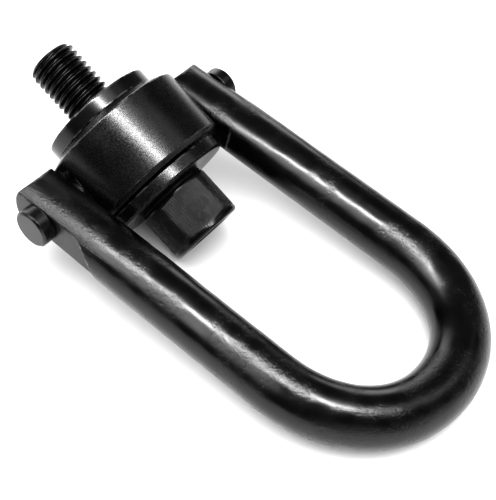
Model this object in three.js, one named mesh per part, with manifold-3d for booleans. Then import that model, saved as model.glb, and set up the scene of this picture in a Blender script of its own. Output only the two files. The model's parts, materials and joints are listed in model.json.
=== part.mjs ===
// Swivel hoist ring with a 3/4-10 UNC cap screw, lying on its side the way it settles on a bench:
// the swivel body and the screw head rest on their rims, and the crown of the bail touches the bench.
// Units are millimetres, +Z is up, +X runs from the screw's tip to the bail's crown, and Y is the
// pivot axis of the bail. The origin is the centre of the footprint, at bench height.

import * as THREE from 'three';
import { mergeVertices } from 'three/addons/utils/BufferGeometryUtils.js';
import Module from 'manifold-3d';

const wasm = await Module();
wasm.setup();

// ---- driving dimensions ----
// Heights along the screw axis are measured from the seat, the flange face that meets the load.
// CUT_PAST is how far a cutting solid runs beyond the face it breaks through.

const RUNNING_GAP = 0.3;
const CUT_PAST = 1;

const THREAD_RADIUS = 9.525;
const THREAD_PITCH = 2.54;
const THREAD_ROOT_RADIUS = 8.1;
const THREAD_PROJECTION = 25.6;
const THREAD_TIP_CHAMFER = 1.6;
const THREAD_ROOT_FLAT = 0.2;
const THREAD_CREST_START = 0.55;
const THREAD_CREST_END = 0.65;

const FLANGE_RADIUS = 22;
const FLANGE_THICKNESS = 5.5;
const FLANGE_EDGE = 0.5;
const SLEEVE_RADIUS = 15.5;
const SLEEVE_TOP = 35;

const BODY_RADIUS = 29;
const SHOULDER_RADIUS = 22.8;
const SHOULDER_TOP = 8.6;
const BODY_EDGE = 32.75;
const BODY_END = 34.4;
const BODY_END_RADIUS = 27.4;

const THRUST_RADIUS = 25.5;
const THRUST_THICKNESS = 4.9;
const THRUST_EDGE = 0.8;
const SPACER_RADIUS = 13.6;
const SPACER_THICKNESS = 1.1;

const HEAD_RADIUS = 14.2875;
const HEAD_HEIGHT = 19.05;
const HEAD_EDGE = 0.8;
const SOCKET_ACROSS_FLATS = 15.875;
const SOCKET_DEPTH = 10;

const RING_THICKNESS = 1.2;
const RING_RADIUS = 12;
const RING_GROOVE_RADIUS = 7.9;
const RING_HEIGHT = 1.5;
const RING_GAP_ANGLE = THREE.MathUtils.degToRad(40);

const PIN_AXIS_HEIGHT = 20.2;
const PIN_RADIUS = 5.5;
const PIN_INNER_END = 17.4;
const PIN_HEAD_RADIUS = 7.1;
const PIN_OUTER_END = 51.45;
const PIN_HEAD_EDGE = 0.7;

const ROLL_PIN_RADIUS = 2;
const ROLL_PIN_WALL = 0.7;
const ROLL_PIN_OFFSET = 22.9;
const ROLL_PIN_START = 12;
const ROLL_PIN_END = 34;
const ROLL_PIN_SLOT_ANGLE = THREE.MathUtils.degToRad(50);

const BAR_RADIUS = 10.45;
const LEG_OFFSET = 38.4;
const LEG_LENGTH = 96.3;
const CROWN_REACH = 42.5;
const CROWN_FULLNESS = 2.1;
const EYE_RADIUS = 12.8;
const EYE_HALF_HEIGHT = 8.9;
const EYE_TAPER_LENGTH = 14;
const EYE_OUTER_FACE = 46.2;
const EYE_INNER_FACE = 29.4;
const OUTER_CUTTER_RADIUS = 17;
const OUTER_CUTTER_CENTRE = [11, -10];
const INNER_CUTTER_RADIUS = 21;

const ROUND_SEGMENTS = 64;
const BORE_SEGMENTS = 48;
const PIN_SEGMENTS = 32;
const THREAD_SEGMENTS = 24;
const BAR_SIDES = 24;
const EYE_SIDES = 16;
const BAIL_STEPS = 72;
// An arc of a three.js shape gets two sides for each curve segment asked for.
const SIDES_PER_CURVE_SEGMENT = 2;

// ---- resting pose ----

const THRUST_START = SLEEVE_TOP + RUNNING_GAP;
const THRUST_END = THRUST_START + THRUST_THICKNESS;
const SPACER_START = THRUST_END + RUNNING_GAP;
const SPACER_END = SPACER_START + SPACER_THICKNESS;
const HEAD_START = SPACER_END + RUNNING_GAP;
const HEAD_END = HEAD_START + HEAD_HEIGHT;

// The body's rim and the head's rim both touch the bench, which sets the screw's slope. The crown
// then drops until it touches the bench too.
const SCREW_SLOPE = Math.atan2(BODY_RADIUS - HEAD_RADIUS, HEAD_END - HEAD_EDGE - BODY_EDGE);
const PIN_CLEARANCE = BODY_RADIUS * Math.cos(SCREW_SLOPE)
  + (BODY_EDGE - PIN_AXIS_HEIGHT) * Math.sin(SCREW_SLOPE);
const BAIL_SLOPE = Math.asin((PIN_CLEARANCE - BAR_RADIUS) / (LEG_LENGTH + CROWN_REACH));

// ---- solids ----

function solid(geometry) {
  geometry.deleteAttribute('normal');
  geometry.deleteAttribute('uv');
  const merged = mergeVertices(geometry, 1e-5);
  const index = Array.from(merged.index.array);
  const triangles = [];
  for (let i = 0; i < index.length; i += 3) {
    const [a, b, c] = index.slice(i, i + 3);
    if (a !== b && b !== c && c !== a) {
      triangles.push(a, b, c);
    }
  }
  return new wasm.Manifold(new wasm.Mesh({
    numProp: 3,
    vertProperties: new Float32Array(merged.attributes.position.array),
    triVerts: new Uint32Array(triangles),
  }));
}

function named(name, body, material) {
  const mesh = body.getMesh();
  const geometry = new THREE.BufferGeometry();
  geometry.setAttribute('position', new THREE.BufferAttribute(mesh.vertProperties, mesh.numProp));
  geometry.setIndex(new THREE.BufferAttribute(mesh.triVerts, 1));
  geometry.computeVertexNormals();
  const node = new THREE.Mesh(geometry, material);
  node.name = name;
  return node;
}

function lathe(profile, segments) {
  const points = profile.map(([radius, height]) => new THREE.Vector2(radius, height));
  return solid(new THREE.LatheGeometry(points, segments).rotateX(Math.PI / 2));
}

// A ring's profile closes on itself; it runs counter-clockwise with the radius to the right.
function ringOf(profile, segments = ROUND_SEGMENTS) {
  return lathe([...profile, profile[0]], segments);
}

function cylinderAlongZ(radius, start, end, segments) {
  const geometry = new THREE.CylinderGeometry(radius, radius, end - start, segments);
  geometry.rotateX(Math.PI / 2);
  geometry.translate(0, 0, (start + end) / 2);
  return solid(geometry);
}

function cylinderAlongY(radius, x, z, start, end, segments) {
  const geometry = new THREE.CylinderGeometry(radius, radius, end - start, segments);
  geometry.translate(x, (start + end) / 2, z);
  return solid(geometry);
}

function block(low, high) {
  const size = high.map((value, axis) => value - low[axis]);
  const geometry = new THREE.BoxGeometry(...size);
  geometry.translate(...low.map((value, axis) => value + size[axis] / 2));
  return solid(geometry);
}

// A flat ring with a gap, seen along Z.
function splitRing(innerRadius, outerRadius, gapAngle, start, end, sides) {
  const shape = new THREE.Shape();
  shape.absarc(0, 0, outerRadius, gapAngle / 2, 2 * Math.PI - gapAngle / 2, false);
  shape.absarc(0, 0, innerRadius, 2 * Math.PI - gapAngle / 2, gapAngle / 2, true);
  shape.closePath();
  const geometry = new THREE.ExtrudeGeometry(shape, {
    depth: end - start,
    bevelEnabled: false,
    curveSegments: sides / SIDES_PER_CURVE_SEGMENT,
  });
  geometry.translate(0, 0, start);
  return solid(geometry);
}

// ---- screw ----

// A right-handed ridge that climbs one pitch each turn, with four rows of points to a pitch: both
// ends of the root and both ends of the crest, at fractions of a pitch. The last column of a turn
// is the first of the next.
function threadRidge(start, turns) {
  const rows = [
    [0, THREAD_ROOT_RADIUS],
    [THREAD_ROOT_FLAT, THREAD_ROOT_RADIUS],
    [THREAD_CREST_START, THREAD_RADIUS],
    [THREAD_CREST_END, THREAD_RADIUS],
  ];
  const rowsPerTurn = rows.length;
  const rowCount = turns * rowsPerTurn;
  const positions = [];
  const vertexAt = (column, row) => {
    const turn = Math.floor(column / THREAD_SEGMENTS);
    return (column % THREAD_SEGMENTS) * (rowCount + rowsPerTurn + 1) + row + turn * rowsPerTurn;
  };
  for (let column = 0; column < THREAD_SEGMENTS; column += 1) {
    const turned = column / THREAD_SEGMENTS;
    const angle = 2 * Math.PI * turned;
    for (let row = 0; row <= rowCount + rowsPerTurn; row += 1) {
      const [offset, radius] = rows[row % rowsPerTurn];
      const height = start + THREAD_PITCH * (Math.floor(row / rowsPerTurn) + offset + turned);
      positions.push(radius * Math.cos(angle), radius * Math.sin(angle), height);
    }
  }
  const bottom = positions.length / 3;
  const top = bottom + 1;
  positions.push(0, 0, start);
  positions.push(0, 0, start + THREAD_PITCH * (turns + 1));
  const triangles = [];
  for (let column = 0; column < THREAD_SEGMENTS; column += 1) {
    for (let row = 0; row < rowCount; row += 1) {
      const a = vertexAt(column, row);
      const b = vertexAt(column + 1, row);
      const c = vertexAt(column + 1, row + 1);
      const d = vertexAt(column, row + 1);
      triangles.push(a, b, c, a, c, d);
    }
    triangles.push(bottom, vertexAt(column + 1, 0), vertexAt(column, 0));
    triangles.push(top, vertexAt(column, rowCount), vertexAt(column + 1, rowCount));
  }
  for (let row = 0; row < rowsPerTurn; row += 1) {
    triangles.push(bottom, vertexAt(0, row), vertexAt(0, row + 1));
    triangles.push(top, vertexAt(0, rowCount + row + 1), vertexAt(0, rowCount + row));
  }
  const geometry = new THREE.BufferGeometry();
  geometry.setAttribute('position', new THREE.Float32BufferAttribute(positions, 3));
  geometry.setIndex(triangles);
  return solid(geometry);
}

function screw() {
  const grooveStart = RING_HEIGHT - RUNNING_GAP;
  const grooveEnd = RING_HEIGHT + RING_THICKNESS + RUNNING_GAP;
  const clear = THREAD_PITCH;
  const tipRadius = THREAD_RADIUS - THREAD_TIP_CHAMFER;
  const turns = Math.ceil((THREAD_PROJECTION + grooveStart) / THREAD_PITCH) + 1;
  const trim = lathe([
    [0, -THREAD_PROJECTION],
    [tipRadius, -THREAD_PROJECTION],
    [THREAD_RADIUS + clear, THREAD_TIP_CHAMFER + clear - THREAD_PROJECTION],
    [THREAD_RADIUS + clear, grooveStart],
    [0, grooveStart],
  ], THREAD_SEGMENTS);
  const thread = threadRidge(-THREAD_PROJECTION - THREAD_PITCH, turns).intersect(trim);
  const blank = lathe([
    [0, 0],
    [RING_GROOVE_RADIUS, 0],
    [RING_GROOVE_RADIUS, grooveEnd],
    [THREAD_RADIUS, grooveEnd],
    [THREAD_RADIUS, HEAD_START],
    [HEAD_RADIUS - HEAD_EDGE / 2, HEAD_START],
    [HEAD_RADIUS, HEAD_START + HEAD_EDGE / 2],
    [HEAD_RADIUS, HEAD_END - HEAD_EDGE],
    [HEAD_RADIUS - HEAD_EDGE, HEAD_END],
    [0, HEAD_END],
  ], BORE_SEGMENTS);
  const hexRadius = SOCKET_ACROSS_FLATS / Math.sqrt(3);
  const socket = cylinderAlongZ(hexRadius, HEAD_END - SOCKET_DEPTH, HEAD_END + CUT_PAST, 6);
  return blank.add(thread).subtract(socket);
}

function retainingRing() {
  const innerRadius = RING_GROOVE_RADIUS + RUNNING_GAP;
  const end = RING_HEIGHT + RING_THICKNESS;
  return splitRing(innerRadius, RING_RADIUS, RING_GAP_ANGLE, RING_HEIGHT, end, PIN_SEGMENTS);
}

// ---- bushing and washers ----

function bushing() {
  const bore = THREAD_RADIUS + RUNNING_GAP;
  const recessRadius = RING_RADIUS + RUNNING_GAP;
  const recessEnd = RING_HEIGHT + RING_THICKNESS + 2 * RUNNING_GAP;
  return ringOf([
    [recessRadius, 0],
    [FLANGE_RADIUS - FLANGE_EDGE, 0],
    [FLANGE_RADIUS, FLANGE_EDGE],
    [FLANGE_RADIUS, FLANGE_THICKNESS],
    [SLEEVE_RADIUS, FLANGE_THICKNESS],
    [SLEEVE_RADIUS, SLEEVE_TOP],
    [bore, SLEEVE_TOP],
    [bore, recessEnd],
    [recessRadius, recessEnd],
  ]);
}

function thrustWasher() {
  const bore = THREAD_RADIUS + RUNNING_GAP;
  return ringOf([
    [bore, THRUST_START],
    [THRUST_RADIUS - THRUST_EDGE / 2, THRUST_START],
    [THRUST_RADIUS, THRUST_START + THRUST_EDGE / 2],
    [THRUST_RADIUS, THRUST_END - THRUST_EDGE],
    [THRUST_RADIUS - THRUST_EDGE, THRUST_END],
    [bore, THRUST_END],
  ]);
}

function spacerWasher() {
  const bore = THREAD_RADIUS + RUNNING_GAP;
  return ringOf([
    [bore, SPACER_START],
    [SPACER_RADIUS, SPACER_START],
    [SPACER_RADIUS, SPACER_END],
    [bore, SPACER_END],
  ], BORE_SEGMENTS);
}

// ---- swivel body and its pins ----

function rollPinHole(side) {
  const radius = ROLL_PIN_RADIUS + RUNNING_GAP;
  const start = ROLL_PIN_START - RUNNING_GAP;
  const hole = cylinderAlongZ(radius, start, BODY_END + CUT_PAST, PIN_SEGMENTS / 2);
  return hole.translate([0, side * ROLL_PIN_OFFSET, 0]);
}

function swivelBody() {
  const bore = SLEEVE_RADIUS + RUNNING_GAP;
  const start = FLANGE_THICKNESS + RUNNING_GAP;
  let body = ringOf([
    [bore, start],
    [SHOULDER_RADIUS, start],
    [BODY_RADIUS, SHOULDER_TOP],
    [BODY_RADIUS, BODY_EDGE],
    [BODY_END_RADIUS, BODY_END],
    [bore, BODY_END],
  ]);
  const holeRadius = PIN_RADIUS + RUNNING_GAP;
  const holeDepth = PIN_INNER_END - RUNNING_GAP;
  for (const side of [-1, 1]) {
    const ends = [side * holeDepth, side * (BODY_RADIUS + CUT_PAST)].sort((a, b) => a - b);
    const hole = cylinderAlongY(holeRadius, 0, PIN_AXIS_HEIGHT, ...ends, PIN_SEGMENTS);
    body = body.subtract(hole).subtract(rollPinHole(side));
  }
  return body;
}

// The pin's profile runs outward along its own axis, which is then turned onto the pivot axis.
function shoulderPin(side) {
  const headStart = EYE_OUTER_FACE + RUNNING_GAP;
  const pin = lathe([
    [0, PIN_INNER_END],
    [PIN_RADIUS, PIN_INNER_END],
    [PIN_RADIUS, headStart],
    [PIN_HEAD_RADIUS, headStart],
    [PIN_HEAD_RADIUS, PIN_OUTER_END - PIN_HEAD_EDGE],
    [PIN_HEAD_RADIUS - PIN_HEAD_EDGE, PIN_OUTER_END],
    [0, PIN_OUTER_END],
  ], PIN_SEGMENTS);
  return pin.rotate([side * -90, 0, 0]).translate([0, 0, PIN_AXIS_HEIGHT]).subtract(rollPinHole(side));
}

function rollPin(side) {
  const innerRadius = ROLL_PIN_RADIUS - ROLL_PIN_WALL;
  const pin = splitRing(innerRadius, ROLL_PIN_RADIUS, ROLL_PIN_SLOT_ANGLE,
    ROLL_PIN_START, ROLL_PIN_END, PIN_SEGMENTS / 2);
  return pin.translate([0, side * ROLL_PIN_OFFSET, 0]);
}

// ---- bail ----

// The crown is a superellipse, a little fuller at its shoulders than an ellipse.
class Crown extends THREE.Curve {
  getPoint(t, target = new THREE.Vector3()) {
    const angle = Math.PI * (t - 0.5);
    const power = 2 / CROWN_FULLNESS;
    const across = Math.sign(angle) * Math.abs(Math.sin(angle)) ** power;
    const along = Math.abs(Math.cos(angle)) ** power;
    return target.set(LEG_LENGTH + CROWN_REACH * along, LEG_OFFSET * across, 0);
  }
}

function leg(from, to, side) {
  const start = new THREE.Vector3(from, side * LEG_OFFSET, 0);
  const end = new THREE.Vector3(to, side * LEG_OFFSET, 0);
  return new THREE.LineCurve3(start, end);
}

function bentBar() {
  const path = new THREE.CurvePath();
  path.add(leg(-EYE_RADIUS - CUT_PAST, LEG_LENGTH, -1));
  path.add(new Crown());
  path.add(leg(LEG_LENGTH, -EYE_RADIUS - CUT_PAST, 1));
  const section = new THREE.Shape();
  section.absarc(0, 0, BAR_RADIUS, 0, 2 * Math.PI, false);
  return solid(new THREE.ExtrudeGeometry(section, {
    extrudePath: path,
    steps: BAIL_STEPS,
    curveSegments: BAR_SIDES / SIDES_PER_CURVE_SEGMENT,
  }));
}

// The outline seen along the pivot: a round end about the pin, then flats that taper up to the bar.
function eyeOutline() {
  const flatAngle = Math.asin(EYE_HALF_HEIGHT / EYE_RADIUS);
  const clear = BAR_RADIUS + CUT_PAST;
  const reach = LEG_LENGTH + CROWN_REACH + clear;
  const outline = new THREE.Shape();
  outline.moveTo(reach, clear);
  outline.lineTo(EYE_TAPER_LENGTH, clear);
  outline.lineTo(EYE_TAPER_LENGTH, BAR_RADIUS);
  outline.absarc(0, 0, EYE_RADIUS, Math.PI - flatAngle, Math.PI + flatAngle, false);
  outline.lineTo(EYE_TAPER_LENGTH, -BAR_RADIUS);
  outline.lineTo(EYE_TAPER_LENGTH, -clear);
  outline.lineTo(reach, -clear);
  outline.closePath();
  const width = 2 * (LEG_OFFSET + clear);
  const geometry = new THREE.ExtrudeGeometry(outline, {
    depth: width,
    bevelEnabled: false,
    curveSegments: EYE_SIDES / SIDES_PER_CURVE_SEGMENT,
  });
  return solid(geometry.translate(0, 0, -width / 2).rotateX(Math.PI / 2));
}

// Milled faces beside each eye: each is a slab that ends in the round of its cutter.
function eyeFaces(side) {
  const far = LEG_OFFSET + 2 * BAR_RADIUS;
  const behind = -2 * EYE_RADIUS;
  const [cutterX, cutterZ] = OUTER_CUTTER_CENTRE;
  const outer = [side * EYE_OUTER_FACE, side * far].sort((a, b) => a - b);
  const inner = [side * EYE_INNER_FACE, 0].sort((a, b) => a - b);
  return [
    cylinderAlongY(OUTER_CUTTER_RADIUS, cutterX, cutterZ, ...outer, PIN_SEGMENTS * 2),
    block([behind, outer[0], -far], [cutterX, outer[1], cutterZ + OUTER_CUTTER_RADIUS]),
    cylinderAlongY(INNER_CUTTER_RADIUS, 0, 0, ...inner, PIN_SEGMENTS * 2),
    block([behind, inner[0], -far], [0, inner[1], far]),
  ];
}

function bail() {
  let bar = bentBar().intersect(eyeOutline());
  for (const side of [-1, 1]) {
    const ends = [side * EYE_INNER_FACE / 2, side * 2 * LEG_OFFSET].sort((a, b) => a - b);
    const eye = cylinderAlongY(PIN_RADIUS + RUNNING_GAP, 0, 0, ...ends, PIN_SEGMENTS);
    for (const cut of [...eyeFaces(side), eye]) {
      bar = bar.subtract(cut);
    }
  }
  return bar;
}

// ---- materials ----

function blackSteel(color, roughness) {
  return new THREE.MeshStandardMaterial({ color, roughness, metalness: 0.9 });
}

const forged = blackSteel(0x141415, 0.3);
const turned = blackSteel(0x1d1d1f, 0.38);
const fastener = blackSteel(0x18181a, 0.42);

// ---- assembly ----

const screwSide = new THREE.Group();
screwSide.rotation.y = Math.PI / 2 + SCREW_SLOPE;
screwSide.add(
  named('flanged_bushing', bushing(), turned),
  named('thrust_washer', thrustWasher(), turned),
  named('spacer_washer', spacerWasher(), turned),
  named('cap_screw', screw(), fastener),
  named('retaining_ring', retainingRing(), fastener),
  named('swivel_body', swivelBody(), turned),
);
for (const [label, side] of [['front', -1], ['rear', 1]]) {
  screwSide.add(
    named(`shoulder_pin_${label}`, shoulderPin(side), turned),
    named(`roll_pin_${label}`, rollPin(side), fastener),
  );
}
screwSide.position.set(
  -PIN_AXIS_HEIGHT * Math.cos(SCREW_SLOPE),
  0,
  PIN_AXIS_HEIGHT * Math.sin(SCREW_SLOPE),
);

const bailNode = named('bail', bail(), forged);
bailNode.rotation.y = BAIL_SLOPE;

const hoistRing = new THREE.Group();
hoistRing.name = 'swivel_hoist_ring';
hoistRing.add(screwSide, bailNode);

const bounds = new THREE.Box3().setFromObject(hoistRing, true);
const centre = bounds.getCenter(new THREE.Vector3());
hoistRing.position.set(-centre.x, -centre.y, -bounds.min.z);

export default hoistRing;
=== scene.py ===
"""The looks of a black swivel hoist ring that lies on a pale table.

Shapes are worked out in millimetres in local frames. The screw's frame has its origin at the seat
and +Z along the screw towards its head. The bail's frame has its origin on the pivot and +X along
the legs towards the crown. +Y is the pivot axis in both. A shoulder pin's frame has its origin on
the screw's axis and +Z outward along the pin.
"""

import json
import math

import bmesh
import bpy
import numpy as np
from mathutils import Matrix, Vector


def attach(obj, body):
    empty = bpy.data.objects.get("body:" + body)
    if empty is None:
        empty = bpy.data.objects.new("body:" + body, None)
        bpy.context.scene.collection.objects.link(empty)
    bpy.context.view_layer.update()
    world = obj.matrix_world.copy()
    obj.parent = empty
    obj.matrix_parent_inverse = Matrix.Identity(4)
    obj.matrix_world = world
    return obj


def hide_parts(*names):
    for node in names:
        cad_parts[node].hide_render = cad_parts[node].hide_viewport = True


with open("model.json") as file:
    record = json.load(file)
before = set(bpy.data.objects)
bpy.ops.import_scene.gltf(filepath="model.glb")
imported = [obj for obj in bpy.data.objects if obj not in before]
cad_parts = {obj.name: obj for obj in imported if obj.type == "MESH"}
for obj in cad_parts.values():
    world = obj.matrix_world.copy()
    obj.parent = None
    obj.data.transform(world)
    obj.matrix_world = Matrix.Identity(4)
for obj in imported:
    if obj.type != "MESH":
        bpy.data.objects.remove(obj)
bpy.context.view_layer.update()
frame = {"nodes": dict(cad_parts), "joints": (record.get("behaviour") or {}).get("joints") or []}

MM = 0.001
TINY = 1e-9


# ---- the bail, in millimetres ----

BAR_RADIUS = 10.45
LEG_OFFSET = 38.4
LEG_LENGTH = 96.3
CROWN_REACH = 42.5
CROWN_FULLNESS = 2.1
CROWN_STEPS = 1600
EYE_RADIUS = 12.8
EYE_HALF_HEIGHT = 8.9
EYE_TAPER_LENGTH = 14
EYE_OUTER_FACE = 46.2
EYE_INNER_FACE = 29.4
OUTER_CUTTER_RADIUS = 17
OUTER_CUTTER_X = 11
OUTER_CUTTER_Z = -10
INNER_CUTTER_RADIUS = 21

# how softly the bail's faces meet, and how strongly its eyes are crowned
FORGED_ROUND = 0.45
EYE_BLEND = 3
EYE_CROWN_RADIUS = 16
INNER_CUT_ROUND = 0.9
OUTER_CUT_ROUND = 0.6
CUTTER_ROUND = 0.6

# the bail's mesh
FORGED_CELL = 0.58
PROJECTION_STEPS = 3
SLOPE_STEP = 0.02

# slow waves in the bar's thickness
WAVE_DEPTH = 0.02
WAVE_TWIST = 2
WAVE_ALONG = 11
WAVE_ACROSS = 13.75
WAVE_UP = 22
WAVE_SHIFT = 1.3


# ---- local frames ----

def frame_matrix(origin, x_axis, y_axis, z_axis):
    """The place of a local frame in the row's frame."""
    matrix = Matrix.Identity(4)
    for column, axis in enumerate((x_axis, y_axis, z_axis, origin)):
        for row in range(3):
            matrix[row][column] = axis[row]
    return matrix


JOINTS = {joint["name"]: joint for joint in frame["joints"]}
PIVOT = Vector(JOINTS["bail_pivot"]["pos_m"])
PIVOT_AXIS = Vector((0, 1, 0))


def screw_frame():
    axis = Vector(JOINTS["body_swivel"]["axis"]).normalized()
    return frame_matrix(Vector(JOINTS["body_swivel"]["pos_m"]), PIVOT_AXIS.cross(axis), PIVOT_AXIS, axis)


def bail_frame():
    """The crown rests on the table, which sets the bail's slope."""
    slope = math.asin((PIVOT.z - BAR_RADIUS * MM) / ((LEG_LENGTH + CROWN_REACH) * MM))
    along = Vector((math.cos(slope), 0, -math.sin(slope)))
    normal = Vector((math.sin(slope), 0, math.cos(slope)))
    return frame_matrix(PIVOT, along, PIVOT_AXIS, normal)


SCREW_FRAME = screw_frame()
BAIL_FRAME = bail_frame()
PIN_AXIS_HEIGHT = (SCREW_FRAME.inverted() @ PIVOT).z / MM


def pin_place(side):
    """The place of a pin's own frame in the screw's frame."""
    outward = Matrix.Rotation(-side * math.pi / 2, 4, "X")
    return Matrix.Translation((0, 0, PIN_AXIS_HEIGHT * MM)) @ outward


# ---- the turned pieces, in millimetres ----

def turned_size(node, place):
    """A CAD node's greatest radius about local Z, and its lowest and highest z."""
    to_local = place.inverted()
    points = np.array([to_local @ vertex.co for vertex in frame["nodes"][node].data.vertices]) / MM
    x, y, z = points.T
    return float(np.hypot(x, y).max()), float(z.min()), float(z.max())


GAP = 0.3
OVERCUT = 1

FLANGE_RADIUS, SEAT_HEIGHT, SLEEVE_TOP = turned_size("flanged_bushing", SCREW_FRAME)
BODY_RADIUS, BODY_START, BODY_END = turned_size("swivel_body", SCREW_FRAME)
THRUST_RADIUS, THRUST_START, THRUST_END = turned_size("thrust_washer", SCREW_FRAME)
SPACER_RADIUS, SPACER_START, SPACER_END = turned_size("spacer_washer", SCREW_FRAME)
HEAD_RADIUS, TIP_HEIGHT, HEAD_END = turned_size("cap_screw", SCREW_FRAME)
PIN_HEAD_RADIUS, PIN_INNER_END, PIN_OUTER_END = turned_size("shoulder_pin_rear", SCREW_FRAME @ pin_place(1))

FLANGE_TOP = BODY_START - GAP
SLEEVE_RADIUS = 15.5
SHOULDER_RADIUS = 22.8
SHOULDER_TOP = 8.6
BODY_EDGE = 32.75
BODY_END_RADIUS = 27.4
THRUST_EDGE = 0.8
PIN_RADIUS = 5.5
PIN_HEAD_EDGE = 0.7

THREAD_RADIUS = 9.525
THREAD_ROOT_RADIUS = 8.1
THREAD_PITCH = 2.54
THREAD_CREST_SHARE = 0.14
THREAD_ROOT_SHARE = 0.18
THREAD_TIP_CHAMFER = 1.6
TIP_RIM = 0.3

# rows of points to a pitch, and pitches that start below the tip, where they are cut off
THREAD_ROWS = 12
THREAD_RUN_IN = 2

RING_GROOVE_RADIUS = 7.9
RING_GROOVE_START = 1.2
RING_GROOVE_END = 3
RING_RECESS_RADIUS = 12.3
RING_RECESS_END = 3.3

BORE_RADIUS = THREAD_RADIUS + GAP
HEAD_START = SPACER_END + GAP
HEAD_EDGE = 0.8
KNURL_RIDGES = 96
KNURL_DEPTH = 0.35
KNURL_START = HEAD_START + 0.9
KNURL_END = HEAD_END - 2.2
KNURL_FADE = 0.4
KNURL_COLUMNS_PER_RIDGE = 4
KNURLED_BAND = 0.05
SOCKET_ACROSS_FLATS = 15.875
SOCKET_DEPTH = 10
SOCKET_CONE_DEPTH = 1.5
SOCKET_CONE_SHARE = 0.8
SOCKET_COUNTERSINK = 0.5
COUNTERSINK_SLOPE = 0.6

# corner radii, from the crispest to the softest
SHARP = 0
CRISP_ROUND = 0.15
PIN_ROUND = 0.2
FLANGE_TOP_ROUND = 0.25
TURNED_ROUND = 0.3
EDGE_ROUND = 0.35
SOFT_ROUND = 0.4
FLANGE_FOOT_ROUND = 0.5
SHOULDER_ROUND = 0.7

LATHE_COLUMNS = 192
PIN_COLUMNS = 96
FILLET_STEPS = 4
FILLET_SHARE = 0.45
NEARLY_STRAIGHT = math.radians(88)
WELD_DISTANCE = 1e-7

# how wide wear is at an edge, and how far a point stands out where wear starts and where it is full
WEAR_WIDTH = 0.5
EDGE_RISE_START = 0.03
EDGE_RISE_FULL = 0.12


# ---- meshes ----

LOCAL_PLACE = "local_place"
EDGE = "edge"


def edge_share(mesh):
    """How far each point stands out from its neighbours, from 0 on a broad face to 1 on an edge."""
    points = np.empty(len(mesh.vertices) * 3)
    normals = np.empty(len(mesh.vertices) * 3)
    ends = np.empty(len(mesh.edges) * 2, int)
    mesh.vertices.foreach_get("co", points)
    mesh.vertices.foreach_get("normal", normals)
    mesh.edges.foreach_get("vertices", ends)
    points = points.reshape(-1, 3)
    normals = normals.reshape(-1, 3)
    ends = ends.reshape(-1, 2)
    across = points[ends[:, 1]] - points[ends[:, 0]]
    across /= np.maximum(np.linalg.norm(across, axis=1, keepdims=True), TINY)
    rise = np.zeros(len(points))
    for end, direction in ((0, -across), (1, across)):
        rise += np.bincount(ends[:, end], (direction * normals[ends[:, end]]).sum(1), len(points))
    rise /= np.bincount(ends.ravel(), minlength=len(points))
    return np.clip((rise - EDGE_RISE_START) / (EDGE_RISE_FULL - EDGE_RISE_START), 0, 1)


def piece(node, mesh, place, body, material):
    """A finished piece that stands for a CAD node. Its mesh comes in a local frame and is moved to
    the row's frame, and each point keeps its local place, in millimetres, for the materials."""
    local = np.empty(len(mesh.vertices) * 3, np.float32)
    mesh.vertices.foreach_get("co", local)
    mesh.attributes.new(LOCAL_PLACE, "FLOAT_VECTOR", "POINT").data.foreach_set("vector", local / MM)
    mesh.attributes.new(EDGE, "FLOAT", "POINT").data.foreach_set("value", edge_share(mesh))
    mesh.transform(place)
    obj = bpy.data.objects.new(node + "_finish", mesh)
    bpy.context.scene.collection.objects.link(obj)
    mesh.materials.clear()
    mesh.materials.append(material)
    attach(obj, body)
    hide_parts(node)
    return obj


def grid_mesh(name, rings, closed):
    """A mesh whose rows are rings of points in millimetres. Points that meet become one."""
    rows, columns = rings.shape[:2]
    here = np.arange(rows * columns).reshape(rows, columns)
    right = np.roll(here, -1, axis=1)
    if not closed:
        here = here[:-1]
        right = right[:-1]
    above = (here + columns) % (rows * columns)
    above_right = (right + columns) % (rows * columns)
    faces = np.stack([here, right, above_right, above], axis=-1).reshape(-1, 4)
    mesh = bpy.data.meshes.new(name)
    mesh.from_pydata((rings.reshape(-1, 3) * MM).tolist(), [], faces.tolist())
    shape = bmesh.new()
    shape.from_mesh(mesh)
    bmesh.ops.remove_doubles(shape, verts=shape.verts, dist=WELD_DISTANCE)
    bmesh.ops.recalc_face_normals(shape, faces=shape.faces)
    shape.to_mesh(mesh)
    shape.free()
    mesh.shade_smooth()
    return mesh


def fillet(at, before, after, wanted):
    """Points that round off the corner at a point, between its two neighbours."""
    to_before = before - at
    to_after = after - at
    reach_before = np.linalg.norm(to_before)
    reach_after = np.linalg.norm(to_after)
    to_before = to_before / reach_before
    to_after = to_after / reach_after
    half = math.acos(np.clip(to_before @ to_after, -1, 1)) / 2
    if wanted <= SHARP or half > NEARLY_STRAIGHT:
        return [at]
    setback = min(wanted / math.tan(half), FILLET_SHARE * reach_before, FILLET_SHARE * reach_after)
    radius = setback * math.tan(half)
    middle = to_before + to_after
    centre = at + middle / np.linalg.norm(middle) * radius / math.sin(half)
    start = at + to_before * setback - centre
    end = at + to_after * setback - centre
    turn = math.pi - 2 * half
    shares = np.arange(FILLET_STEPS + 1)[:, None] / FILLET_STEPS
    arc = (np.sin((1 - shares) * turn) * start + np.sin(shares * turn) * end) / math.sin(turn)
    return list(centre + arc)


def rounded(outline, closed):
    """The outline with each corner rounded off. A third number at a corner is its own radius."""
    points = []
    places = [np.array(corner[:2], float) for corner in outline]
    for i, corner in enumerate(outline):
        if not closed and i in (0, len(outline) - 1):
            points.append(places[i])
            continue
        wanted = corner[2] if len(corner) > 2 else EDGE_ROUND
        points += fillet(places[i], places[i - 1], places[(i + 1) % len(outline)], wanted)
    return np.array(points)


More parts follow.
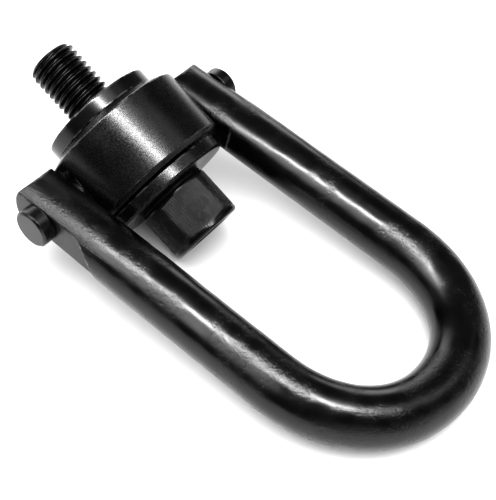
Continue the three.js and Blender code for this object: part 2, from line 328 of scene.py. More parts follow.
def held(profile, closed):
    """The profile with a point just inside each end of its long runs, so that wear stays on edges."""
    points = []
    count = len(profile)
    for i, start in enumerate(profile):
        points.append(start)
        if not closed and i == count - 1:
            break
        run = profile[(i + 1) % count] - start
        reach = np.linalg.norm(run)
        if reach > 3 * WEAR_WIDTH:
            points.append(start + run * WEAR_WIDTH / reach)
            points.append(start + run * (1 - WEAR_WIDTH / reach))
    return np.array(points)


def turned_rings(profile, columns):
    """Rings of points round +Z for a profile of radius and height."""
    angle = np.linspace(0, 2 * math.pi, columns, endpoint=False)
    radius = profile[:, :1]
    height = profile[:, 1:]
    return np.stack([
        radius * np.cos(angle),
        radius * np.sin(angle),
        height * np.ones_like(angle),
    ], axis=-1)


def turned_mesh(name, outline, columns=LATHE_COLUMNS, closed=True):
    profile = held(rounded(outline, closed), closed)
    return grid_mesh(name, turned_rings(profile, columns), closed)


def keep_flats_flat(obj):
    obj.modifiers.new("flat_faces", "WEIGHTED_NORMAL").keep_sharp = True


def modified_mesh(mesh, kind, **settings):
    """The mesh as a modifier leaves it."""
    obj = bpy.data.objects.new("rough", mesh)
    bpy.context.scene.collection.objects.link(obj)
    modifier = obj.modifiers.new("change", kind)
    for name, value in settings.items():
        setattr(modifier, name, value)
    bpy.context.view_layer.update()
    graph = bpy.context.evaluated_depsgraph_get()
    made = bpy.data.meshes.new_from_object(obj.evaluated_get(graph), depsgraph=graph)
    bpy.data.objects.remove(obj)
    return made


def cut(mesh, cutter_mesh):
    """The first mesh with the second cut out of it."""
    cutter = bpy.data.objects.new("cutter", cutter_mesh)
    bpy.context.scene.collection.objects.link(cutter)
    made = modified_mesh(mesh, "BOOLEAN", operation="DIFFERENCE", solver="EXACT", object=cutter)
    bpy.data.objects.remove(cutter)
    return made


# ---- turned pieces ----

def bushing_mesh():
    return turned_mesh("bushing", [
        (RING_RECESS_RADIUS, SEAT_HEIGHT),
        (FLANGE_RADIUS, SEAT_HEIGHT, FLANGE_FOOT_ROUND),
        (FLANGE_RADIUS, FLANGE_TOP, FLANGE_TOP_ROUND),
        (SLEEVE_RADIUS, FLANGE_TOP),
        (SLEEVE_RADIUS, SLEEVE_TOP),
        (BORE_RADIUS, SLEEVE_TOP),
        (BORE_RADIUS, RING_RECESS_END),
        (RING_RECESS_RADIUS, RING_RECESS_END),
    ])


def body_mesh():
    bore = SLEEVE_RADIUS + GAP
    mesh = turned_mesh("body", [
        (bore, BODY_START),
        (SHOULDER_RADIUS, BODY_START, TURNED_ROUND),
        (BODY_RADIUS, SHOULDER_TOP, SHOULDER_ROUND),
        (BODY_RADIUS, BODY_EDGE, SOFT_ROUND),
        (BODY_END_RADIUS, BODY_END, TURNED_ROUND),
        (bore, BODY_END),
    ])
    for side in (-1, 1):
        mesh = cut(mesh, pin_hole_mesh(side))
    return mesh


def pin_hole_mesh(side):
    mesh = turned_mesh("pin_hole", [
        (0, PIN_INNER_END - GAP),
        (PIN_RADIUS + GAP, PIN_INNER_END - GAP, SHARP),
        (PIN_RADIUS + GAP, BODY_RADIUS + OVERCUT, SHARP),
        (0, BODY_RADIUS + OVERCUT),
    ], PIN_COLUMNS, closed=False)
    mesh.transform(pin_place(side))
    return mesh


def thrust_washer_mesh():
    return turned_mesh("thrust_washer", [
        (BORE_RADIUS, THRUST_START),
        (THRUST_RADIUS, THRUST_START, TURNED_ROUND),
        (THRUST_RADIUS, THRUST_END - THRUST_EDGE, TURNED_ROUND),
        (THRUST_RADIUS - THRUST_EDGE, THRUST_END, TURNED_ROUND),
        (BORE_RADIUS, THRUST_END),
    ])


def spacer_washer_mesh():
    return turned_mesh("spacer_washer", [
        (BORE_RADIUS, SPACER_START, CRISP_ROUND),
        (SPACER_RADIUS, SPACER_START, CRISP_ROUND),
        (SPACER_RADIUS, SPACER_END, CRISP_ROUND),
        (BORE_RADIUS, SPACER_END, CRISP_ROUND),
    ])


def shoulder_pin_mesh():
    head_start = EYE_OUTER_FACE + GAP
    return turned_mesh("shoulder_pin", [
        (0, PIN_INNER_END),
        (PIN_RADIUS, PIN_INNER_END),
        (PIN_RADIUS, head_start, SHARP),
        (PIN_HEAD_RADIUS, head_start, CRISP_ROUND),
        (PIN_HEAD_RADIUS, PIN_OUTER_END - PIN_HEAD_EDGE, PIN_ROUND),
        (PIN_HEAD_RADIUS - PIN_HEAD_EDGE, PIN_OUTER_END, PIN_ROUND),
        (0, PIN_OUTER_END),
    ], PIN_COLUMNS, closed=False)


# ---- cap screw ----

def tip_rings(columns):
    """The flat end of the thread."""
    edge = THREAD_RADIUS - THREAD_TIP_CHAMFER
    return turned_rings(np.array([
        (0, TIP_HEIGHT),
        (edge / 2, TIP_HEIGHT),
        (edge - TIP_RIM, TIP_HEIGHT),
    ]), columns)


def thread_rings(columns):
    """Rows that follow the helix, from below the tip to the retaining ring's groove."""
    pitches = math.ceil((RING_GROOVE_START - TIP_HEIGHT) / THREAD_PITCH) + THREAD_RUN_IN
    phase = np.arange(pitches * THREAD_ROWS)[:, None] / THREAD_ROWS
    turn = np.arange(columns)[None, :] / columns
    height = TIP_HEIGHT + THREAD_PITCH * (phase - THREAD_RUN_IN + turn)
    height = np.clip(height, TIP_HEIGHT, RING_GROOVE_START)
    off_crest = np.abs(phase % 1 - 0.5) * 2
    flank_share = 1 - THREAD_CREST_SHARE - THREAD_ROOT_SHARE
    ramp = np.clip((off_crest - THREAD_CREST_SHARE) / flank_share, 0, 1)
    ridged = THREAD_RADIUS - (THREAD_RADIUS - THREAD_ROOT_RADIUS) * ramp
    chamfer = THREAD_RADIUS - THREAD_TIP_CHAMFER + height - TIP_HEIGHT
    radius = np.minimum(ridged, chamfer)
    radius = np.where(height >= RING_GROOVE_START, THREAD_ROOT_RADIUS, radius)
    angle = 2 * math.pi * turn
    return np.stack([radius * np.cos(angle), radius * np.sin(angle), height], axis=-1)


def knurl(rings):
    """Presses straight grooves into the side of the head, as wide as the flat ridges between them."""
    x, y, height = np.moveaxis(rings, -1, 0)
    radius = np.hypot(x, y)
    fade_in = np.clip((height - KNURL_START) / KNURL_FADE, 0, 1)
    fade_out = np.clip((KNURL_END - height) / KNURL_FADE, 0, 1)
    groove = np.maximum(-np.cos(KNURL_RIDGES * np.arctan2(y, x)), 0)
    dip = KNURL_DEPTH * fade_in * fade_out * groove
    scale = np.where(radius > HEAD_RADIUS - KNURLED_BAND, 1 - dip / HEAD_RADIUS, 1)
    return np.stack([x * scale, y * scale, height], axis=-1)


def shank_and_head_rings(columns):
    outline = [
        (RING_GROOVE_RADIUS, RING_GROOVE_START),
        (RING_GROOVE_RADIUS, RING_GROOVE_END, SHARP),
        (THREAD_RADIUS, RING_GROOVE_END, TURNED_ROUND),
        (THREAD_RADIUS, HEAD_START, SHARP),
        (HEAD_RADIUS, HEAD_START, SOFT_ROUND),
        (HEAD_RADIUS, KNURL_START, SHARP),
        (HEAD_RADIUS, KNURL_START + KNURL_FADE, SHARP),
        (HEAD_RADIUS, KNURL_END - KNURL_FADE, SHARP),
        (HEAD_RADIUS, KNURL_END, SHARP),
        (HEAD_RADIUS, HEAD_END - HEAD_EDGE, TURNED_ROUND),
        (HEAD_RADIUS - HEAD_EDGE, HEAD_END, TURNED_ROUND),
        (0, HEAD_END),
    ]
    profile = held(rounded(outline, closed=False), closed=False)
    return knurl(turned_rings(profile, columns))


def hexagon_mesh():
    """The socket's six sides and the drill's cone at its bottom."""
    corner = SOCKET_ACROSS_FLATS / math.sqrt(3)
    bottom = HEAD_END - SOCKET_DEPTH
    return grid_mesh("hexagon", turned_rings(np.array([
        (0, bottom - SOCKET_CONE_DEPTH),
        (corner * SOCKET_CONE_SHARE, bottom),
        (corner, bottom),
        (corner, HEAD_END + OVERCUT),
        (0, HEAD_END + OVERCUT),
    ]), 6), closed=False)


def countersink_mesh():
    """The cone at the socket's mouth."""
    mouth = SOCKET_ACROSS_FLATS / math.sqrt(3) + SOCKET_COUNTERSINK
    return grid_mesh("countersink", turned_rings(np.array([
        (0, HEAD_END - mouth * COUNTERSINK_SLOPE),
        (mouth, HEAD_END),
        (mouth + OVERCUT, HEAD_END + OVERCUT),
        (0, HEAD_END + OVERCUT),
    ]), PIN_COLUMNS), closed=False)


def cap_screw_mesh():
    columns = KNURL_RIDGES * KNURL_COLUMNS_PER_RIDGE
    rings = np.concatenate([tip_rings(columns), thread_rings(columns), shank_and_head_rings(columns)])
    mesh = grid_mesh("cap_screw", rings, closed=False)
    for cutter in (hexagon_mesh(), countersink_mesh()):
        mesh = cut(mesh, cutter)
    return mesh


# ---- bail ----

def crown_line():
    """The bar's centre line round the crown, as points in millimetres."""
    angle = np.linspace(-math.pi / 2, math.pi / 2, CROWN_STEPS + 1)
    power = 2 / CROWN_FULLNESS
    across = np.sign(angle) * np.abs(np.sin(angle)) ** power * LEG_OFFSET
    along = LEG_LENGTH + CROWN_REACH * np.abs(np.cos(angle)) ** power
    return np.stack([along, across], axis=-1)


CROWN_LINE = crown_line()


def nearest_of(line, points, stride=20):
    """The index of the point of a line that is nearest to each given point."""
    coarse = ((points[:, None] - line[None, ::stride]) ** 2).sum(-1).argmin(1) * stride
    window = np.clip(coarse[:, None] + np.arange(-stride, stride + 1), 0, len(line) - 1)
    best = ((points[:, None] - line[window]) ** 2).sum(-1).argmin(1)
    return window[np.arange(len(points)), best]


def off_crown(points):
    """Distance from each point (x, y) to the crown's centre line."""
    start = CROWN_LINE[:-1]
    run = np.diff(CROWN_LINE, axis=0)
    nearest = nearest_of(CROWN_LINE, points)
    found = np.full(len(points), np.inf)
    for shift in (-1, 0):
        k = np.clip(nearest + shift, 0, len(run) - 1)
        share = np.clip(((points - start[k]) * run[k]).sum(-1) / (run[k] ** 2).sum(-1), 0, 1)
        offset = points - start[k] - share[:, None] * run[k]
        found = np.minimum(found, np.linalg.norm(offset, axis=-1))
    return found


def rounded_meet(a, b, radius):
    """The distance to what lies inside both a and b, with their shared edge rounded off."""
    corner = np.hypot(np.maximum(a + radius, 0), np.maximum(b + radius, 0))
    return np.minimum(-radius, np.maximum(a, b)) + corner


def forged_bar(points):
    """Distance to the bar, whose thickness wanders a little, as a forging's does."""
    x, y, z = points.T
    off_line = np.abs(np.abs(y) - LEG_OFFSET)
    bend = x > LEG_LENGTH
    off_line[bend] = off_crown(points[bend, :2])
    turn = np.arctan2(z, np.abs(y) - LEG_OFFSET)
    twisted = np.sin(2 * math.pi * x / WAVE_ALONG + WAVE_TWIST * turn)
    crossing = np.sin(2 * math.pi * (y / WAVE_ACROSS + z / WAVE_UP) + WAVE_SHIFT)
    return np.hypot(off_line, z) - BAR_RADIUS + WAVE_DEPTH * (1 + twisted * crossing)


def eye_flats(points):
    """Distance to the flats above and below the eyes, which are slightly crowned and taper out."""
    x, y, z = points.T
    arc_end = math.sqrt(EYE_RADIUS ** 2 - EYE_HALF_HEIGHT ** 2)
    taper = math.atan2(BAR_RADIUS - EYE_HALF_HEIGHT, EYE_TAPER_LENGTH + arc_end)
    crown = np.clip(np.abs(y) - LEG_OFFSET, -BAR_RADIUS, BAR_RADIUS) ** 2 / (2 * EYE_CROWN_RADIUS)
    return (np.abs(z) - EYE_HALF_HEIGHT + crown) * math.cos(taper) - (x + arc_end) * math.sin(taper)


def outer_cut(points):
    """Distance to what a cutter removes from the outer side of each eye."""
    x, y, z = points.T
    off_x = x - OUTER_CUTTER_X
    off_z = z - OUTER_CUTTER_Z
    reach = np.where(off_x > 0, np.hypot(off_x, off_z), off_z)
    return rounded_meet(EYE_OUTER_FACE - np.abs(y), reach - OUTER_CUTTER_RADIUS, CUTTER_ROUND)


def inner_cut(points):
    """Distance to what a cutter removes from the inner side of each eye."""
    x, y, z = points.T
    reach = np.where(x > 0, np.hypot(x, z), np.abs(z))
    return rounded_meet(np.abs(y) - EYE_INNER_FACE, reach - INNER_CUTTER_RADIUS, CUTTER_ROUND)


def bail_distance(points):
    """Distance to the surface of the bail, below zero inside it."""
    x, y, z = points.T
    eye_end = np.where(x < 0, np.hypot(x, z), np.abs(z)) - EYE_RADIUS
    hole = PIN_RADIUS + GAP - np.hypot(x, z)
    shape = rounded_meet(forged_bar(points), eye_flats(points), EYE_BLEND)
    shape = rounded_meet(shape, eye_end, FORGED_ROUND)
    shape = rounded_meet(shape, -outer_cut(points), OUTER_CUT_ROUND)
    shape = rounded_meet(shape, -inner_cut(points), INNER_CUT_ROUND)
    return rounded_meet(shape, hole, EDGE_ROUND)


def slope_of(distance, points):
    """The direction in which a distance grows fastest."""
    slope = np.empty_like(points)
    for axis in range(3):
        shift = np.zeros(3)
        shift[axis] = SLOPE_STEP
        slope[:, axis] = distance(points + shift) - distance(points - shift)
    return slope / np.maximum(np.linalg.norm(slope, axis=1, keepdims=True), TINY)


def bail_mesh():
    """The CAD node is divided into even, fine cells, and then every point is moved onto the bail's
    exact surface."""
    solid = frame["nodes"]["bail"].data.copy()
    solid.transform(BAIL_FRAME.inverted())
    mesh = modified_mesh(solid, "REMESH", mode="VOXEL", voxel_size=FORGED_CELL * MM)
    flat = np.empty(len(mesh.vertices) * 3, np.float32)
    mesh.vertices.foreach_get("co", flat)
    points = flat.reshape(-1, 3).astype(float) / MM
    for _ in range(PROJECTION_STEPS):
        points -= slope_of(bail_distance, points) * bail_distance(points)[:, None]
    mesh.vertices.foreach_set("co", (points * MM).astype(np.float32).ravel())
    mesh.update()
    mesh.shade_smooth()
    mesh.normals_split_custom_set_from_vertices(slope_of(bail_distance, points).tolist())
    return mesh


# ---- materials: cells and depths in millimetres ----

COATING_INDEX = 1.5
FASTENER_INDEX = 1.34
# the spacer washer's coating reflects less than the rest: a darker finish that paints the shade in the gap
# between the thrust washer and the head
SPACER_SHADE_INDEX = 1.2
BARE_GREY = 0.3
FLECK_GREY = 0.01

# the noise values between which a cloud fades in
CLOUDS = (0.3, 0.7)

GRAIN_CELL = 0.55
WEAR_CELL = 2.5
LATHE_RING_CELL = 0.6
LATHE_RING_STRETCH = 0.04
LATHE_RING_SLANT = 0.6
TURNED_OIL_CELL = 9
FORGED_OIL_CELL = 8
SCALY_LENGTH = 45
SCALY_WIDTH = 20


class Shading:
    """A new material, with short ways to add nodes to it."""

    def __init__(self, name):
        self.material = bpy.data.materials.new(name)
        self.material.use_nodes = True
        self.nodes = self.material.node_tree.nodes
        self.links = self.material.node_tree.links
        self.shader = self.nodes["Principled BSDF"]

    def feed(self, socket, value):
        """Gives a socket a constant, or joins it to another node."""
        if isinstance(value, bpy.types.NodeSocket):
            self.links.new(value, socket)
        else:
            socket.default_value = value

    def attribute(self, name, output):
        node = self.nodes.new("ShaderNodeAttribute")
        node.attribute_name = name
        return node.outputs[output]

    def calculate(self, operation, a, b=0.0):
        node = self.nodes.new("ShaderNodeMath")
        node.operation = operation
        self.feed(node.inputs[0], a)
        self.feed(node.inputs[1], b)
        return node.outputs[0]

    def add(self, first, *others):
        total = first
        for other in others:
            total = self.calculate("ADD", total, other)
        return total

    def multiply(self, first, *others):
        total = first
        for other in others:
            total = self.calculate("MULTIPLY", total, other)
        return total

    def larger(self, a, b):
        return self.calculate("MAXIMUM", a, b)

    def rest_of(self, share):
        return self.calculate("SUBTRACT", 1.0, share)

    def off(self, value, level):
        """How far a value is from a level."""
        return self.calculate("ABSOLUTE", self.calculate("SUBTRACT", value, level))

    def length(self, a, b):
        """The length of a vector that has two parts."""
        return self.calculate("SQRT", self.add(self.multiply(a, a), self.multiply(b, b)))

    def split(self, vector):
        node = self.nodes.new("ShaderNodeSeparateXYZ")
        self.feed(node.inputs[0], vector)
        return node.outputs

    def join(self, x, y, z):
        node = self.nodes.new("ShaderNodeCombineXYZ")
        for socket, value in zip(node.inputs, (x, y, z)):
            self.feed(socket, value)
        return node.outputs[0]

    def noise(self, place, cell, detail=2.0, roughness=0.5):
        """Clouds from 0 to 1, each about as wide as the cell."""
        node = self.nodes.new("ShaderNodeTexNoise")
        self.feed(node.inputs["Vector"], place)
        node.inputs["Scale"].default_value = 1 / cell
        node.inputs["Detail"].default_value = detail
        node.inputs["Roughness"].default_value = roughness
        return node.outputs["Fac"]

    def step(self, value, low, high, start=0.0, end=1.0):
        """Goes smoothly from start to end as the value goes from low to high."""
        node = self.nodes.new("ShaderNodeMapRange")
        node.interpolation_type = "SMOOTHSTEP"
        for name, number in (
            ("Value", value),
            ("From Min", low),
            ("From Max", high),
            ("To Min", start),
            ("To Max", end),
        ):
            self.feed(node.inputs[name], number)
        return node.outputs["Result"]

    def relief(self, layers):
        """Bumps on bumps. Each layer is a height from 0 to 1 and its depth in millimetres."""
        normal = None
        for height, depth in layers:
            node = self.nodes.new("ShaderNodeBump")
            node.inputs["Distance"].default_value = depth * MM
            self.feed(node.inputs["Height"], height)
            if normal:
                self.feed(node.inputs["Normal"], normal)
            normal = node.outputs["Normal"]
        self.feed(self.shader.inputs["Normal"], normal)

    def finish(self, grey, roughness):
        self.feed(self.shader.inputs["Base Color"], self.join(grey, grey, grey))
        self.feed(self.shader.inputs["Roughness"], roughness)
        return self.material

    def blackened(self, grey, roughness, bare, index=COATING_INDEX):
        """A glossy black coating over steel, whose bare share shows the metal."""
        self.feed(self.shader.inputs["Metallic"], bare)
        self.shader.inputs["IOR"].default_value = index
        return self.finish(self.add(grey, self.multiply(bare, BARE_GREY)), roughness)


def worn_edges(shading, place, amount):
    """The share of bare steel, which shows in patches along the outer edges."""
    patches = shading.step(shading.noise(place, WEAR_CELL, detail=4), low=0.42, high=0.62)
    return shading.multiply(patches, shading.attribute(EDGE, "Fac"), amount)


def lathe_rings(shading, place):
    """Faint rings round local Z."""
    x, y, z = shading.split(place)
    along = shading.add(z, shading.multiply(shading.length(x, y), LATHE_RING_SLANT))
    across_x = shading.multiply(x, LATHE_RING_STRETCH)
    across_y = shading.multiply(y, LATHE_RING_STRETCH)
    return shading.noise(shading.join(across_x, across_y, along), LATHE_RING_CELL, detail=3)


def turned_black(name, roughness, grain, wear, index=COATING_INDEX):
    """Blackened steel from a lathe, with fine grain and a cloudy oil film."""
    shading = Shading(name)
    place = shading.attribute(LOCAL_PLACE, "Vector")
    speckle = shading.noise(place, GRAIN_CELL, roughness=0.7)
    oil = shading.noise(place, TURNED_OIL_CELL)
    flecks = shading.step(shading.noise(place, cell=0.9), low=0.72, high=0.78)
    film = shading.step(oil, *CLOUDS, start=0.0015, end=0.003)
    grey = shading.add(film, shading.multiply(flecks, FLECK_GREY * grain))
    gloss = shading.add(
        shading.step(oil, *CLOUDS, start=roughness - 0.02, end=roughness + 0.02),
        shading.step(speckle, low=0.35, high=0.65, start=-0.05 * grain, end=0.05 * grain),
    )
    shading.relief([
        (lathe_rings(shading, place), 0.006 * grain),
        (speckle, 0.022 * grain),
    ])
    return shading.blackened(grey, gloss, worn_edges(shading, place, wear), index)


def milled_share(shading, x, y, z):
    """1 on the faces that a cutter left on the outer sides of the eyes, 0 elsewhere."""
    off_face = shading.off(shading.calculate("ABSOLUTE", y), EYE_OUTER_FACE)
    on_face = shading.step(off_face, low=0.05, high=0.15, start=1.0, end=0.0)
    end_x = OUTER_CUTTER_X + OUTER_CUTTER_RADIUS
    end_z = OUTER_CUTTER_Z + OUTER_CUTTER_RADIUS
    within_x = shading.step(x, end_x, end_x + 0.5, start=1.0, end=0.0)
    within_z = shading.step(z, end_z, end_z + 0.5, start=1.0, end=0.0)
    return shading.multiply(on_face, within_x, within_z)


def cutter_arcs(shading, x, z):
    """Fine arcs round the cutter's centre."""
    off_x = shading.calculate("SUBTRACT", x, OUTER_CUTTER_X)
    off_z = shading.calculate("SUBTRACT", z, OUTER_CUTTER_Z)
    return shading.noise(shading.join(shading.length(off_x, off_z), 0.0, 0.0), cell=0.5)


def scaly_share(shading, x, y):
    """1 where the forging is rough with scale: near the eyes, and most on the front leg."""
    near_eye = shading.step(x, low=0, high=SCALY_LENGTH, start=1.0, end=0.0)
    front = shading.step(y, -SCALY_WIDTH, SCALY_WIDTH, start=1.0, end=0.25)
    return shading.multiply(near_eye, front)


def forged_black():
    """Oily black scale over a forging, pitted here and there, with milled faces at its eyes."""
    shading = Shading("forged_black")
    place = shading.attribute(LOCAL_PLACE, "Vector")
    x, y, z = shading.split(place)
    milled = milled_share(shading, x, y, z)
    forged = shading.rest_of(milled)
    scaly = shading.multiply(scaly_share(shading, x, y), forged)
    pitted = shading.multiply(shading.step(shading.noise(place, cell=16), low=0.44, high=0.6), forged)

    swell = shading.noise(place, cell=9)
    dents = shading.noise(place, cell=3, detail=3, roughness=0.6)
    pits = shading.step(shading.noise(place, cell=1.7, detail=3, roughness=0.6), low=0.46, high=0.78)
    pits = shading.multiply(pits, pitted)
    crust = shading.step(shading.noise(place, cell=0.7, roughness=0.6), *CLOUDS)
    grain = shading.noise(place, GRAIN_CELL, detail=3, roughness=0.7)
    shading.relief([
        (shading.multiply(swell, forged), 0.03),
        (shading.multiply(dents, forged), 0.02),
        (pits, -0.06),
        (shading.multiply(crust, scaly), 0.03),
        (shading.multiply(cutter_arcs(shading, x, z), milled), 0.015),
        (grain, 0.012),
        (shading.multiply(grain, shading.larger(scaly, pitted)), 0.07),
    ])

    oil = shading.noise(place, FORGED_OIL_CELL, detail=3)
    grey = shading.step(oil, *CLOUDS, start=0.001, end=0.0025)
    gloss = shading.add(
        shading.step(oil, *CLOUDS, start=0.21, end=0.27),
        shading.multiply(milled, 0.12),
        shading.multiply(shading.larger(scaly, pits), 0.06),
    )
    return shading.blackened(grey, gloss, worn_edges(shading, place, amount=0.4))


def spring_steel():
    """Drawn steel, darkened, with a faint bloom."""
    shading = Shading("spring_steel")
    place = shading.nodes.new("ShaderNodeTexCoord").outputs["Object"]
    bloom = shading.noise(place, cell=3 * MM, detail=3)
    grain = shading.noise(place, cell=0.3 * MM)
    shading.relief([(grain, 0.01)])
    shading.shader.inputs["Metallic"].default_value = 1
    grey = shading.step(bloom, *CLOUDS, start=0.05, end=0.09)
    return shading.finish(grey, shading.step(bloom, *CLOUDS, start=0.3, end=0.42))


# ---- object ----

def build_turned():
    satin = turned_black("satin_black", roughness=0.27, grain=1.0, wear=0.5)
    smooth = turned_black("smooth_black", roughness=0.22, grain=0.2, wear=0.5)
    washer = turned_black("washer_black", roughness=0.27, grain=1.2, wear=0.5)
    # the spacer's rough, weakly reflecting coating is painted shade for the gap between the thrust washer
    # and the head
    spacer = turned_black("spacer_black_painted_shade", roughness=0.5, grain=1.0, wear=0.1, index=SPACER_SHADE_INDEX)
    pin = turned_black("pin_black", roughness=0.3, grain=0.5, wear=0.4)
    fastener = turned_black("fastener_black", roughness=0.22, grain=0.3, wear=0.05, index=FASTENER_INDEX)
    front = SCREW_FRAME @ pin_place(-1)
    rear = SCREW_FRAME @ pin_place(1)
    for node, mesh, place, body, slot, material in (
        ("flanged_bushing", bushing_mesh(), SCREW_FRAME, "seat", "turned_black", smooth),
        ("swivel_body", body_mesh(), SCREW_FRAME, "swivel", "turned_black", satin),
        ("thrust_washer", thrust_washer_mesh(), SCREW_FRAME, "washer", "turned_black", washer),
        ("spacer_washer", spacer_washer_mesh(), SCREW_FRAME, "spacer", "turned_black", spacer),
        ("cap_screw", cap_screw_mesh(), SCREW_FRAME, "screw", "fastener_black", fastener),
        ("shoulder_pin_front", shoulder_pin_mesh(), front, "swivel", "turned_black", pin),
        ("shoulder_pin_rear", shoulder_pin_mesh(), rear, "swivel", "turned_black", pin),
    ):
        keep_flats_flat(piece(node, mesh, place, body, material))


def build_inner():
    """The pieces inside keep their CAD shape, and get a finish."""
    spring = spring_steel()
    for node in ("retaining_ring", "roll_pin_front", "roll_pin_rear"):
        materials = frame["nodes"][node].data.materials
        materials.clear()
        materials.append(spring)


build_turned()
piece("bail", bail_mesh(), BAIL_FRAME, "bail", forged_black())
build_inner()


# ---- table and camera: lengths in metres, but the camera's own in millimetres ----

TABLE_REACH = 8
TABLE_WHITE = 0.85
TABLE_ROUGHNESS = 0.6

VIEW_AIM = Vector((0.00433, -0.00205, 0.02))
VIEW_DISTANCE = 0.36197
VIEW_AZIMUTH = math.radians(36.69)
VIEW_ELEVATION = math.radians(48.78)
VIEW_ROLL = math.radians(2.78)
SENSOR_WIDTH = 36
LENS = 73.85


def table_top():
    mesh = bpy.data.meshes.new("table_top")
    reach = TABLE_REACH
    corners = [(-reach, -reach, 0), (reach, -reach, 0), (reach, reach, 0), (-reach, reach, 0)]
    mesh.from_pydata(corners, [], [(0, 1, 2, 3)])
    table = bpy.data.objects.new("table_top", mesh)
    bpy.context.scene.collection.objects.link(table)
    material = bpy.data.materials.new("table_white")
    material.use_nodes = True
    shader = material.node_tree.nodes["Principled BSDF"]
    shader.inputs["Base Color"].default_value = (TABLE_WHITE, TABLE_WHITE, TABLE_WHITE, 1)
    shader.inputs["Roughness"].default_value = TABLE_ROUGHNESS
    shader.inputs["Specular IOR Level"].default_value = 0
    mesh.materials.append(material)


def camera():
    """Looks down on the ring from the front right, at arm's length."""
    back = Vector((
        math.sin(VIEW_AZIMUTH) * math.cos(VIEW_ELEVATION),
        -math.cos(VIEW_AZIMUTH) * math.cos(VIEW_ELEVATION),
        math.sin(VIEW_ELEVATION),
    ))
    level = Vector((math.cos(VIEW_AZIMUTH), math.sin(VIEW_AZIMUTH), 0))
    right = math.cos(VIEW_ROLL) * level + math.sin(VIEW_ROLL) * back.cross(level)
    data = bpy.data.cameras.new("camera")
    data.sensor_width = SENSOR_WIDTH
    data.lens = LENS
    obj = bpy.data.objects.new("camera", data)
    bpy.context.scene.collection.objects.link(obj)
    obj.matrix_world = frame_matrix(VIEW_AIM + back * VIEW_DISTANCE, right, back.cross(right), back)
    bpy.context.scene.camera = obj


# ---- light: places and sizes in metres, power in watts for each square metre of lamp ----

STRIP_PLACE = Vector((0.060, -0.068, 0.331))
STRIP_LENGTH = 0.326
STRIP_WIDTH = 0.036
STRIP_TURN = math.radians(25)
STRIP_POWER = 144
STRIP_TAIL_LENGTH = 0.14
STRIP_TAIL_POWER = 52
SOFTBOX_PLACE = Vector((0.10, -0.12, 0.5))
SOFTBOX_LENGTH = 0.5
SOFTBOX_WIDTH = 0.4
SOFTBOX_POWER = 16

# brightness of the room, where white is 1
ROOM_FILL = 1.0
ROOM_DARK = 0.12

# pale panels: azimuth from +Y towards +X, elevation, full within, gone beyond (all in degrees),
# and brightness
PANELS = [
    (-148, 46, 8, 28, 4.4),
    (-54, 14, 10, 32, 2.6),
    (-24, 18, 4, 15, 3.0),
    (42, 50, 3, 14, 2.0),
    (60, 78, 3, 16, 2.4),
    (30, 0, 8, 26, 1.0),
    (80, 0, 8, 26, 1.3),
    (130, 6, 8, 26, 1.0),
    (-120, 0, 6, 18, 1.5),
]


def hanging_light(name, length, width, place, turn, power):
    """A level, oblong light that faces down and never shows itself."""
    data = bpy.data.lights.new(name, "AREA")
    data.shape = "RECTANGLE"
    data.size = length
    data.size_y = width
    data.energy = power * length * width
    obj = bpy.data.objects.new(name, data)
    obj.location = place
    obj.rotation_euler.z = turn
    obj.visible_camera = False
    bpy.context.scene.collection.objects.link(obj)
    return obj


def lights():
    """A narrow strip, dimmer at its far end, makes the streaks in the gloss. A broad softbox makes
    the shadows."""
    backward = -Vector((math.cos(STRIP_TURN), math.sin(STRIP_TURN), 0))
    tail_place = STRIP_PLACE + backward * (STRIP_LENGTH + STRIP_TAIL_LENGTH) / 2
    for name, length, place, power in (
        ("strip", STRIP_LENGTH, STRIP_PLACE, STRIP_POWER),
        ("strip_tail", STRIP_TAIL_LENGTH, tail_place, STRIP_TAIL_POWER),
    ):
        hanging_light(name, length, STRIP_WIDTH, place, STRIP_TURN, power).visible_diffuse = False
    softbox = hanging_light("softbox", SOFTBOX_LENGTH, SOFTBOX_WIDTH, SOFTBOX_PLACE, 0, SOFTBOX_POWER)
    softbox.visible_glossy = False


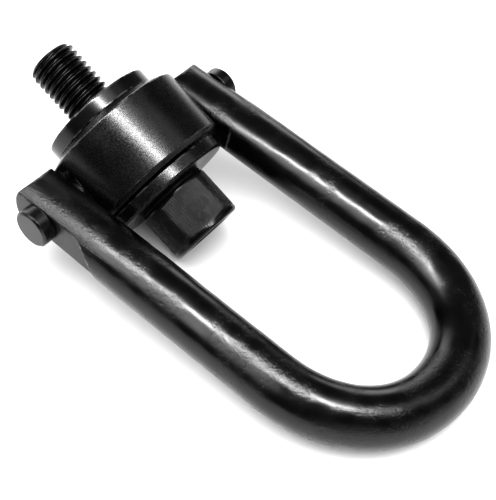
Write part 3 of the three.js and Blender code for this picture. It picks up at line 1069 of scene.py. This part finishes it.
def heading(azimuth, elevation):
    """The unit vector towards a compass angle, from +Y towards +X, and a height."""
    level = math.cos(math.radians(elevation))
    return Vector((
        math.sin(math.radians(azimuth)) * level,
        math.cos(math.radians(azimuth)) * level,
        math.sin(math.radians(elevation)),
    ))


def panel_glow(nodes, links, direction, panel):
    """How bright a panel is in a direction."""
    azimuth, elevation, inner, outer, brightness = panel
    facing = nodes.new("ShaderNodeVectorMath")
    facing.operation = "DOT_PRODUCT"
    facing.inputs[1].default_value = heading(azimuth, elevation)
    links.new(direction, facing.inputs[0])
    patch = nodes.new("ShaderNodeMapRange")
    patch.interpolation_type = "SMOOTHSTEP"
    patch.inputs["From Min"].default_value = math.cos(math.radians(outer))
    patch.inputs["From Max"].default_value = math.cos(math.radians(inner))
    patch.inputs["To Max"].default_value = brightness
    links.new(facing.outputs["Value"], patch.inputs["Value"])
    return patch.outputs["Result"]


def gloss_room(nodes, links):
    """The dark room with its pale panels, as gloss shows it."""
    direction = nodes.new("ShaderNodeTexCoord").outputs["Generated"]
    glow = None
    for panel in PANELS:
        brightest = nodes.new("ShaderNodeMath")
        brightest.operation = "MAXIMUM"
        brightest.inputs[1].default_value = ROOM_DARK
        if glow:
            links.new(glow, brightest.inputs[1])
        links.new(panel_glow(nodes, links, direction, panel), brightest.inputs[0])
        glow = brightest.outputs[0]
    return glow


def room():
    """A pale room that lights the table evenly. In the gloss it is dark, with a few pale panels."""
    made = bpy.data.worlds.new("room")
    made.use_nodes = True
    nodes = made.node_tree.nodes
    links = made.node_tree.links
    path = nodes.new("ShaderNodeLightPath")
    choice = nodes.new("ShaderNodeMix")
    choice.inputs["A"].default_value = ROOM_FILL
    links.new(path.outputs["Is Glossy Ray"], choice.inputs["Factor"])
    links.new(gloss_room(nodes, links), choice.inputs["B"])
    background = nodes["Background"]
    background.inputs["Color"].default_value = (1, 1, 1, 1)
    links.new(choice.outputs["Result"], background.inputs["Strength"])
    bpy.context.scene.world = made


table_top()
camera()
lights()
room()
bpy.context.scene.view_settings.view_transform = "Standard"
bpy.context.scene.view_settings.look = "High Contrast"
